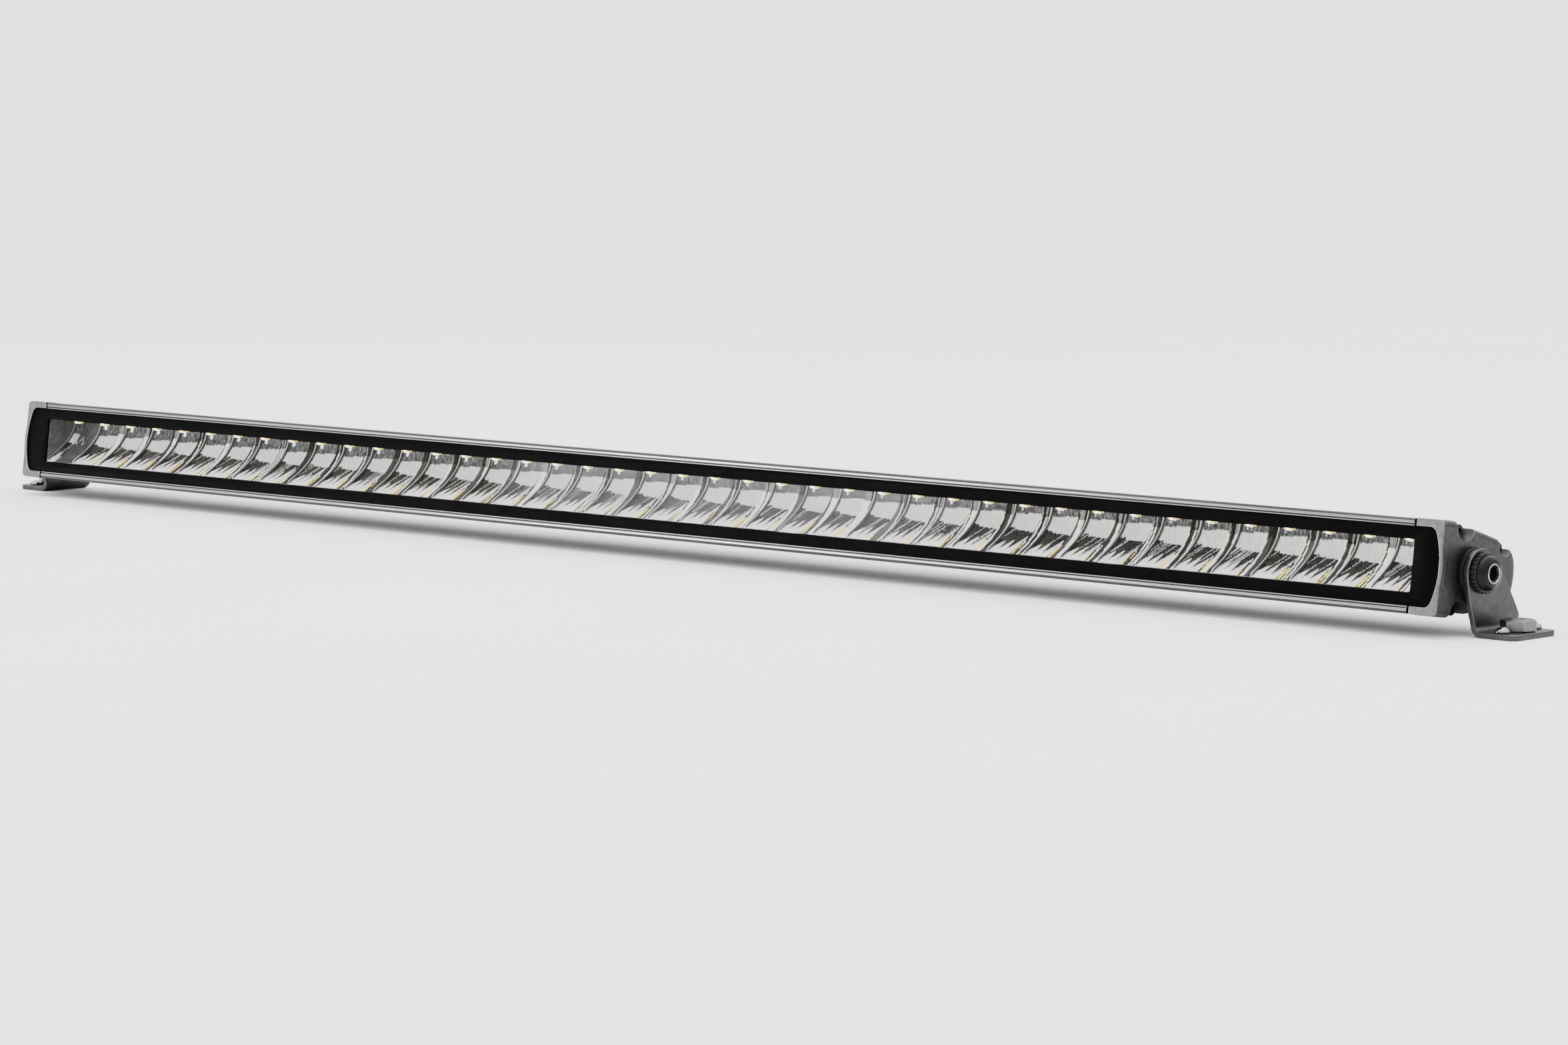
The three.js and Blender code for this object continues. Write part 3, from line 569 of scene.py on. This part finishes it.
def painted_facet_reflection(cell, x, z):
    """Tone and gold share of the painted reflections on the coated facets, from the place in the cell
    in millimetres; the gold is a painted reflection of the LEDs.
    """
    s = cell / (COUNT - 1)
    drift = hashed(cell, 3) - 0.5
    mottle = noise((x * 0.8 + cell * 7, z * 0.4, 2))
    value, gold_led_reflection = 0.36 + 0.22 * mottle, 0.0
    # The painted reflection of the broad light facet, higher towards the right of the bar, with a
    # stepped lower edge.
    top = 5.8 + 3.6 * s + 0.5 * drift + (0.7 if x > 9 else 0) + 0.5 * noise((x * 0.5, cell, 4))
    bottom = -0.6 + 1.4 * s + (0.9 if x < 5 else 0) - 0.05 * x + 0.7 * noise((x * 0.6, cell, 1))
    wide = step(0.9, x) * (1 - step(FLUTES_FROM + drift, x))
    light = step(bottom, z) * (1 - step(top, z)) * wide
    value = value * (1 - light) + (0.84 + 0.08 * mottle) * light
    if x > FLUTES_FROM:
        value = streaks(x, z, cell, 1.05, 0.1) * (1.0 if z < 8 else 0.55)
    elif z < bottom:
        # Painted reflections: a dark band, and a light floor with tall saw teeth that rise to the
        # right.
        peak = -3.8 + 3.4 * max(0.0, 1 - abs(s - 0.42) * 2.4) + 0.8 * drift
        edge = max(-12.0, tooth(x, 0.3, 5.0, -9.5, -6.0), tooth(x, 4.6, 10.2, -11.5, -4.8),
                   tooth(x, 9.0, 16.6, -12.5, peak))
        floor = 1 - step(edge, z, 0.3)
        dark = 0.2 + 0.14 * noise((x * 1.1, z * 0.7 + cell, 5))
        if hashed(math.floor((x - 0.8 * z) / 0.5), cell * 0.7, 2) > 0.9:
            dark = 0.75  # thin slanting glints
        value = dark * (1 - floor) + 0.88 * floor
        if x > 15.6 and z < -5.5:
            value = streaks(x, z, cell + 50, 0.9, 0.25)
            # painted gold reflection of the LEDs among the painted flute reflections
            if 15.9 < x - 0.3 * (z + 9.5) < 19.4 and z < -6.5 - drift:
                gold_led_reflection, value = (1.0, 0.95) if value > 0.25 else (0.6, 0.3)
    spot = math.hypot(x - 4.2, (z - 11.3) * 0.9)
    if spot < 1.1 * (1.25 - s) and cell > 0:
        value = 1.0  # the lamp's glint in the next facet
    if cell == 0 and x > 7:  # most of the first cell is grey, with one bent glint
        zigzag = abs(z - 1.5 - 2.2 * (abs((x / 3.0) % 2 - 1) * 2 - 1))
        value = 0.34 + 0.1 * mottle + (0.5 if zigzag < 0.35 and x < 16 else 0)
        gold_led_reflection = 0.0
    return min(value, 1.0), gold_led_reflection


def reflector_mesh(from_x, first, cells):
    x0, x1 = from_x + 0.15, from_x + cells * PITCH - 0.15
    nx = cells * COLUMNS
    verts, faces, tones = [], [], []
    for k in range(ROWS + 1):
        z = TROUGH_TOP + (TROUGH_BOTTOM - TROUGH_TOP) * k / ROWS
        for i in range(nx + 1):
            x = min(max(from_x + i * PITCH / COLUMNS, x0), x1)
            cell = min(i // COLUMNS, cells - 1)
            local = x - from_x - cell * PITCH
            value, gold_led_reflection = painted_facet_reflection(first + cell, local, z)
            verts.append((x, trough(z) - 0.3 * value, z))
            lin = value ** 2.6
            tones.append((lin, lin * (1 - 0.2 * gold_led_reflection), lin * (1 - 0.92 * gold_led_reflection), 1.0))
    for k in range(ROWS):
        for i in range(nx):
            a = k * (nx + 1) + i
            faces.append((a, a + 1, a + nx + 2, a + nx + 1))
    back = offset_line(1.2, 12)
    base = len(verts)
    for y, z in back:
        verts += [(x0, y, z), (x1, y, z)]
        tones += [(0.4, 0.4, 0.4, 1.0)] * 2
    for k in range(len(back) - 1):
        a = base + 2 * k
        faces.append((a, a + 2, a + 3, a + 1))
    last = base + 2 * (len(back) - 1)
    faces.append((*range(nx + 1), base + 1, base))
    faces.append((*reversed(range(ROWS * (nx + 1), (ROWS + 1) * (nx + 1))), last, last + 1))
    for edge, side in ((0, 0), (nx, 1)):
        column = [k * (nx + 1) + edge for k in range(ROWS + 1)]
        faces.append((*column, *[base + 2 * k + side for k in reversed(range(len(back)))]))
    # Thin ribs between the cells, each with a rounded crest, coloured with a painted highlight on the
    # crest and painted shade down the sides.
    crest, foot = offset_line(-1.5, 16), offset_line(0.3, 16)
    crest = [(max(y, 2.8), z) for y, z in crest]
    for c in range(cells + 1):
        x = from_x + c * PITCH
        a, b = max(x - 0.45, x0 + 0.01), min(x + 0.45, x1 - 0.01)
        base = len(verts)
        rows = []
        for (cy, cz), (fy, fz) in zip(crest, foot):
            pts = [(a, fy, fz), (a, cy + 0.25, cz), ((a * 3 + b) / 4, cy, cz),
                   ((a + 3 * b) / 4, cy, cz), (b, cy + 0.25, cz), (b, fy, fz)]
            rows.append(list(range(len(verts), len(verts) + 6)))
            verts += pts
            # painted highlight on the crest, painted shade on the sides
            tones += [(t, t, t, 1.0) for t in (0.02, 0.06, 0.75, 0.3, 0.06, 0.02)]
        for r0, r1 in zip(rows, rows[1:]):
            for i in range(6):
                j = (i + 1) % 6
                faces.append((r0[i], r0[j], r1[j], r1[i]))
        faces += [tuple(rows[0]), tuple(reversed(rows[-1]))]
    mesh = mesh_of(verts, faces)
    layer = mesh.color_attributes.new("facet", "FLOAT_COLOR", "POINT")
    for item, tone in zip(layer.data, tones):
        item.color = tone
    return mesh


def led_board_mesh(from_x, cells):
    """The board, with a ceramic chip and a phosphor dome over each cell."""
    focus = VERTEX_Y - FOCAL
    bm = bmesh.new()

    def box(x0, x1, y0, y1, z0, z1, index):
        made = bmesh.ops.create_cube(bm, size=1)["verts"]
        for v in made:
            v.co = Vector((x0 + (v.co.x + 0.5) * (x1 - x0), y0 + (v.co.y + 0.5) * (y1 - y0),
                           z0 + (v.co.z + 0.5) * (z1 - z0)))
        for f in {f for v in made for f in v.link_faces}:
            f.material_index = index

    box(from_x + 0.5, from_x + cells * PITCH - 0.5, 8, 26, 13.9, 15.4, 0)
    for i in range(cells):
        x = from_x + (i + 0.5) * PITCH
        box(x - 1.8, x + 1.8, focus - 1.8, focus + 1.8, 13.3, 13.95, 1)
        box(x - 2.5, x + 2.5, focus - 1.7, focus + 1.7, 12.6, 13.35, 2)
        box(x - 1.0, x + 1.0, focus - 1.9, focus + 1.0, 12.1, 13.35, 4)
        box(x + 4, x + 5.6, 9.5, 10.3, 13.3, 13.95, 3)
        box(x - 6, x - 4.8, 21, 21.8, 13.4, 13.95, 3)
    end = from_x + cells * PITCH - 6
    box(end - 4, end, 8.2, 12, 13.5, 13.95, 3)
    mesh = bpy.data.meshes.new("board")
    bm.to_mesh(mesh)
    bm.free()
    return mesh


def make_optics():
    x, first = -HALF, 0
    for n, cells in enumerate(CELLS, 1):
        place(f"reflector_moulding_{n}", reflector_mesh(x, first, cells), FACE, "light_bar",
              f"reflector_{n}", MATS["mirror"], angle=50)
        place(f"led_strip_{n}", led_board_mesh(x, cells), FACE, "light_bar", f"led_board_{n}",
              [MATS[k] for k in
                            ("board", "board", "phosphor", "black_plastic", "dome")])
        x += cells * PITCH
        first += cells


# ---------------------------------------------------------------- pivots and brackets
FOOT_X, FOOT_Y = 565.5, 12.4  # the foot bolt's axis in the bracket frame
RIVET_STEP = 13.0
FOOT_SEAT = UNDER + 3.3  # underside of the heads on the foot


def bracket_mesh():
    inner, outer, foot_end, plate, bend, corner = 549.6, 552.6, 576.3, 3.0, 3.0, 4.0
    front, back, top_r = -5.4, 30.1, 11.8
    big = bend + plate

    def arc(cx, cz, r, start, end, count=12):
        return [(cx + r * math.cos(start + (end - start) * k / count),
                 cz + r * math.sin(start + (end - start) * k / count)) for k in range(count + 1)]

    half = math.pi / 2
    strip = [(inner, top_r + 1), *arc(inner + big, UNDER + big, big, 2 * half, 3 * half),
             (foot_end, UNDER), (foot_end, UNDER + plate),
             *arc(outer + bend, UNDER + plate + bend, bend, 3 * half, 2 * half), (outer, top_r + 1)]

    def curve(p, q, r, count=14):
        return [((1 - t) ** 2 * p[0] + 2 * t * (1 - t) * q[0] + t * t * r[0],
                 (1 - t) ** 2 * p[1] + 2 * t * (1 - t) * q[1] + t * t * r[1])
                for t in (k / count for k in range(1, count + 1))]

    lean = 0.85
    tip = (top_r * math.cos(lean), top_r * math.sin(lean))
    side = [(front, UNDER - 1), (front, UNDER + 6),
            *curve((front, UNDER + 6), (-top_r, -8), (-top_r, 0)),
            *arc(0, 0, top_r, math.pi, lean, 40)[1:],
            *curve(tip, (22, -6), (back + 1.2, -23)), (back, -27), (back, UNDER - 1)]
    plan = [(inner - 1, -20), (outer, -20), (outer, front),
            *arc(foot_end - corner, front + corner, corner, -half, 0),
            *arc(foot_end - corner, back - corner, corner, 0, half), (outer, back), (outer, 40),
            (inner - 1, 40)]
    cuts = [prism("x", circle(0, 0, 5.3), inner - 1, outer + 1),
            prism("z", circle(FOOT_X, FOOT_Y, 5.2), UNDER - 1, UNDER + 4)]
    cuts += [prism("z", circle(FOOT_X, FOOT_Y + s * RIVET_STEP, 2.4), UNDER - 1, UNDER + 4)
             for s in (-1, 1)]
    keep = [prism("x", side, inner - 1, foot_end + 1), prism("z", plan, UNDER - 1, top_r + 2)]
    return shaped(prism("y", strip, -20, 40), keep=keep, cut=cuts, voxel=0.4, smooth=3)


def dome_head(base, end, base_r, tip_r, count=10):
    """A head that narrows from its base to its tip in a soft curve."""
    out = []
    for k in range(count + 1):
        t = k / count
        swell = math.sqrt(max(0, 1 - t ** 1.7))
        out.append((base + (end - base) * t, tip_r + (base_r - tip_r) * swell))
    return out


def bolt_mesh():
    socket = hexagon(6.4)
    profile = [(535.5, 4.6), (536.2, 5.0), (555.8, 5.0), (555.8, 8.4), (556.0, 8.7), (556.7, 8.7)]
    profile += dome_head(556.9, 559.75, 8.6, 5.0)
    profile += [(559.9, 4.8), (559.9, 4.35), (559.6, 4.2), (558.9, socket), (556.6, socket)]
    return turned("x", PIVOT_DEPTH, 0, profile, count=96)


def socket_highlight_ring(mesh):
    """Gives the edge round the socket the second material, a bright chrome that paints the highlight
    on that edge.
    """
    for face in mesh.polygons:
        x, y, z = face.center
        if x > 559.7 and math.hypot(y - PIVOT_DEPTH, z) < 4.9:
            face.material_index = 1
    return mesh


def washer_mesh():
    teeth, depth = 26, 0.55

    def toothed(r):
        return lambda t: r - depth * abs(((t * teeth / (2 * math.pi)) % 1) * 2 - 1)

    profile = [(552.9, toothed(10.0)), (553.2, toothed(10.3)), (555.2, toothed(10.3)),
               (555.5, toothed(9.9)), (555.5, 5.3), (552.9, 5.3), (552.9, toothed(10.0))]
    return turned("x", 0, 0, profile, count=208)


def ring_mesh(start, end, outer, inner):
    edge = 0.35
    profile = [(start, inner), (start, outer - edge), (start + edge, outer), (end - edge, outer),
               (end, outer - edge), (end, inner), (start, inner)]
    return turned("x", 0, 0, profile, count=96)


def foot_bolt_mesh():
    flats, height = 15.8, 5.5
    top = FOOT_SEAT + height
    flat = hexagon(flats, math.radians(-4.5 + 30))

    def shoulder(t):
        return top - (flat(t) - flats / 2 * 0.97) * 0.62

    def lower(t):
        return FOOT_SEAT + 0.1 + (flat(t) - flats / 2) * 0.25

    profile = [(UNDER + 0.3, 4.5), (UNDER + 0.8, 4.9), (FOOT_SEAT, 4.9), (FOOT_SEAT, 7.5),
               (lower, flat), (shoulder, flat), (top, flats / 2 * 0.95), (top, 3.0),
               (top - 0.25, 2.6), (top - 0.25, 0.01)]
    return turned("z", FOOT_X, FOOT_Y, profile, count=96)


def rivet_mesh(sign):
    steps, head_r, head_height = 14, 4.0, 2.55
    profile = [(UNDER + 0.3, 2.2), (FOOT_SEAT, 2.2), (FOOT_SEAT, 3.8)]
    for k in range(steps + 1):
        t = math.pi / 2 * k / steps
        rise = head_height * math.sin(t)
        profile.append((FOOT_SEAT + 0.35 + rise, max(0.02, head_r * math.cos(t))))
    return turned("z", FOOT_X, FOOT_Y + sign * RIVET_STEP, profile, count=64)


def close_ring(mesh):
    """Drops the flat ends of a ring whose profile comes back to its start."""
    bm = bmesh.new()
    bm.from_mesh(mesh)
    bmesh.ops.delete(bm, geom=[f for f in bm.faces if len(f.verts) > 4], context="FACES_ONLY")
    bmesh.ops.remove_doubles(bm, verts=bm.verts, dist=1e-4)
    bmesh.ops.recalc_face_normals(bm, faces=bm.faces)
    bm.to_mesh(mesh)
    bm.free()
    return mesh


def make_brackets():
    plate = bracket_mesh()
    for side, sign in SIDES:
        body = f"bracket_{side}"
        matrix = BRACKET if sign > 0 else BRACKET @ MIRROR
        bar = FACE if sign > 0 else FACE @ MIRROR  # the bolt stays with the bar
        place(f"bracket_plate_{side}", plate.copy(), matrix, body, body,
              MATS["steel"], angle=80)
        place(f"pivot_disc_{side}", close_ring(ring_mesh(546.8, 549.3, 12.2, 5.3)), matrix, body,
              f"pivot_spacer_{side}", MATS["black_plastic"])
        place(f"pivot_tooth_washer_{side}", close_ring(washer_mesh()), matrix, body,
              f"pivot_washer_{side}", MATS["black_steel"])
        place(f"pivot_screw_{side}", socket_highlight_ring(bolt_mesh()), bar, "light_bar",
              f"pivot_bolt_{side}", [MATS["black_steel"], MATS["chrome"]])
        place(f"foot_hex_bolt_{side}", foot_bolt_mesh(), matrix, body, f"foot_bolt_{side}",
              MATS["zinc"])
        for end, s in (("front", -1), ("rear", 1)):
            place(f"foot_dome_rivet_{side}_{end}", rivet_mesh(s), matrix, body,
                  f"foot_rivet_{side}_{end}", MATS["chrome"])


# ---------------------------------------------------------------- fittings on the back
def make_fittings():
    seat = PLATFORM_DEPTH + 0.3
    hexa = hexagon(18.0)

    def ribbed(t):
        return 8.4 + 0.18 * math.cos(18 * t)

    gland = [(32.5, 5.7), (33, 6.0), (seat, 6.0), (seat, 8.6), (seat + 0.3, hexa), (seat + 4.6, hexa),
             (seat + 5, 8.7), (seat + 5.2, 8.0), (seat + 6, 8.0), (seat + 6.2, ribbed),
             (seat + 14, ribbed), (seat + 17, 7.9), (67.4, 6.9), (68, 6.3), (68, 4.4), (67.6, 4.2),
             (33, 4.2), (32.5, 4.5), (32.5, 5.7)]
    place("cable_gland_body", close_ring(turned("y", GLAND_X, 0, gland, count=108)), FACE,
          "light_bar", "cable_gland", MATS["black_plastic"])
    hexv = hexagon(13.8)
    vent = [(39.5, 4.8), (40, 5.0), (seat, 5.0), (seat, 6.6), (seat + 0.3, hexv), (seat + 3.2, hexv),
            (seat + 3.5, 6.5), (seat + 4, 6.3), (seat + 4.2, 5.4), (seat + 4.8, 5.4), (seat + 5, 6.3),
            (53.0, 6.0), (53.5, 5.4), (53.5, 3.0), (53.1, 2.6), (53.1, 0.01)]
    place("vent_plug_body", turned("y", VENT_X, 0, vent), FACE, "light_bar", "vent_plug",
          MATS["black_plastic"])


# ---------------------------------------------------------------- carried CAD nodes
CARRIED = {
    "lens": "clear", "lens_seal": "rubber", "thermal_pad": "pad", "driver_board": "driver",
    "cable_gland_nut": "black_plastic", "end_cap_gasket_left": "rubber",
    "end_cap_gasket_right": "rubber", "reflector_end_left": "end_wall",
    "reflector_end_right": "end_wall", "pivot_insert_left": "brass", "pivot_insert_right": "brass",
}


def dress_carried():
    for node, look in CARRIED.items():
        obj = bpy.data.objects[node]
        if not obj.data.materials:
            obj.data.materials.append(MATS[look])
        for slot in obj.material_slots:
            slot.material = MATS[look]


# ---------------------------------------------------------------- studio
CAMERA_FROM_PIVOT = (2.1182, -2.1408, 0.2879)  # metres
CAMERA_DOWN, CAMERA_TURN = 5.716, 43.554  # degrees
CAMERA_LENS = 124.6
FLOOR_HALF = 500.0  # wide enough that its edge is never seen


def make_camera():
    data = bpy.data.cameras.new("camera")
    data.lens, data.sensor_width, data.clip_end = CAMERA_LENS, 36.0, 4 * FLOOR_HALF
    camera = bpy.data.objects.new("camera", data)
    right, back, up = CAMERA_FROM_PIVOT
    camera.location = (right, PIVOT_Y + back, PIVOT_Z + up)
    camera.rotation_euler = (math.radians(90 - CAMERA_DOWN), 0, math.radians(CAMERA_TURN))
    bpy.context.scene.collection.objects.link(camera)
    bpy.context.scene.camera = camera


def softbox(name, place_at, aim, width, height, power):
    data = bpy.data.lights.new(name, "AREA")
    data.shape, data.size, data.size_y = "RECTANGLE", width, height
    data.energy = power
    light = bpy.data.objects.new(name, data)
    light.location = place_at
    light.rotation_euler = (Vector(aim) - Vector(place_at)).to_track_quat("-Z", "Y").to_euler()
    bpy.context.scene.collection.objects.link(light)


def make_studio():
    size = FLOOR_HALF
    mesh = mesh_of([(-size, -size, 0), (size, -size, 0), (size, size, 0), (-size, size, 0)],
                   [(0, 1, 2, 3)])
    if mesh.polygons[0].normal.z < 0:
        mesh.flip_normals()
    mesh.materials.append(finish("pale_floor", grey(0.9), grey(0.93), 0.8, 0.0, size=0.5, bump=0.0))
    floor = bpy.data.objects.new("studio_floor", mesh)
    bpy.context.scene.collection.objects.link(floor)
    # A soft dome: bright overhead and dim towards the horizon.
    world = bpy.data.worlds.new("studio")
    world.use_nodes = True
    tree = world.node_tree
    up = add(tree, "ShaderNodeSeparateXYZ", {
        "Vector": add(tree, "ShaderNodeTexCoord").outputs["Generated"]}).outputs["Z"]
    glow = add(tree, "ShaderNodeMapRange", {
        "Value": up, "From Min": 0.05, "From Max": 0.6, "To Min": 0.35, "To Max": 3.4}).outputs[0]
    tree.links.new(glow, tree.nodes["Background"].inputs["Strength"])
    tree.nodes["Background"].inputs["Color"].default_value = (1, 1, 1, 1)
    bpy.context.scene.world = world
    softbox("front_left_box", (-2.05, -2.2, 0.36), (0, 0, 0.03), 0.5, 0.6, 26)
    softbox("overhead", (0.2, -0.3, 2.4), (0, 0, 0), 2.4, 1.6, 40)


make_camera()
make_housing()
make_caps()
make_lens_border()
make_optics()
make_brackets()
make_fittings()
dress_carried()
make_studio()

bpy.context.view_layer.update()
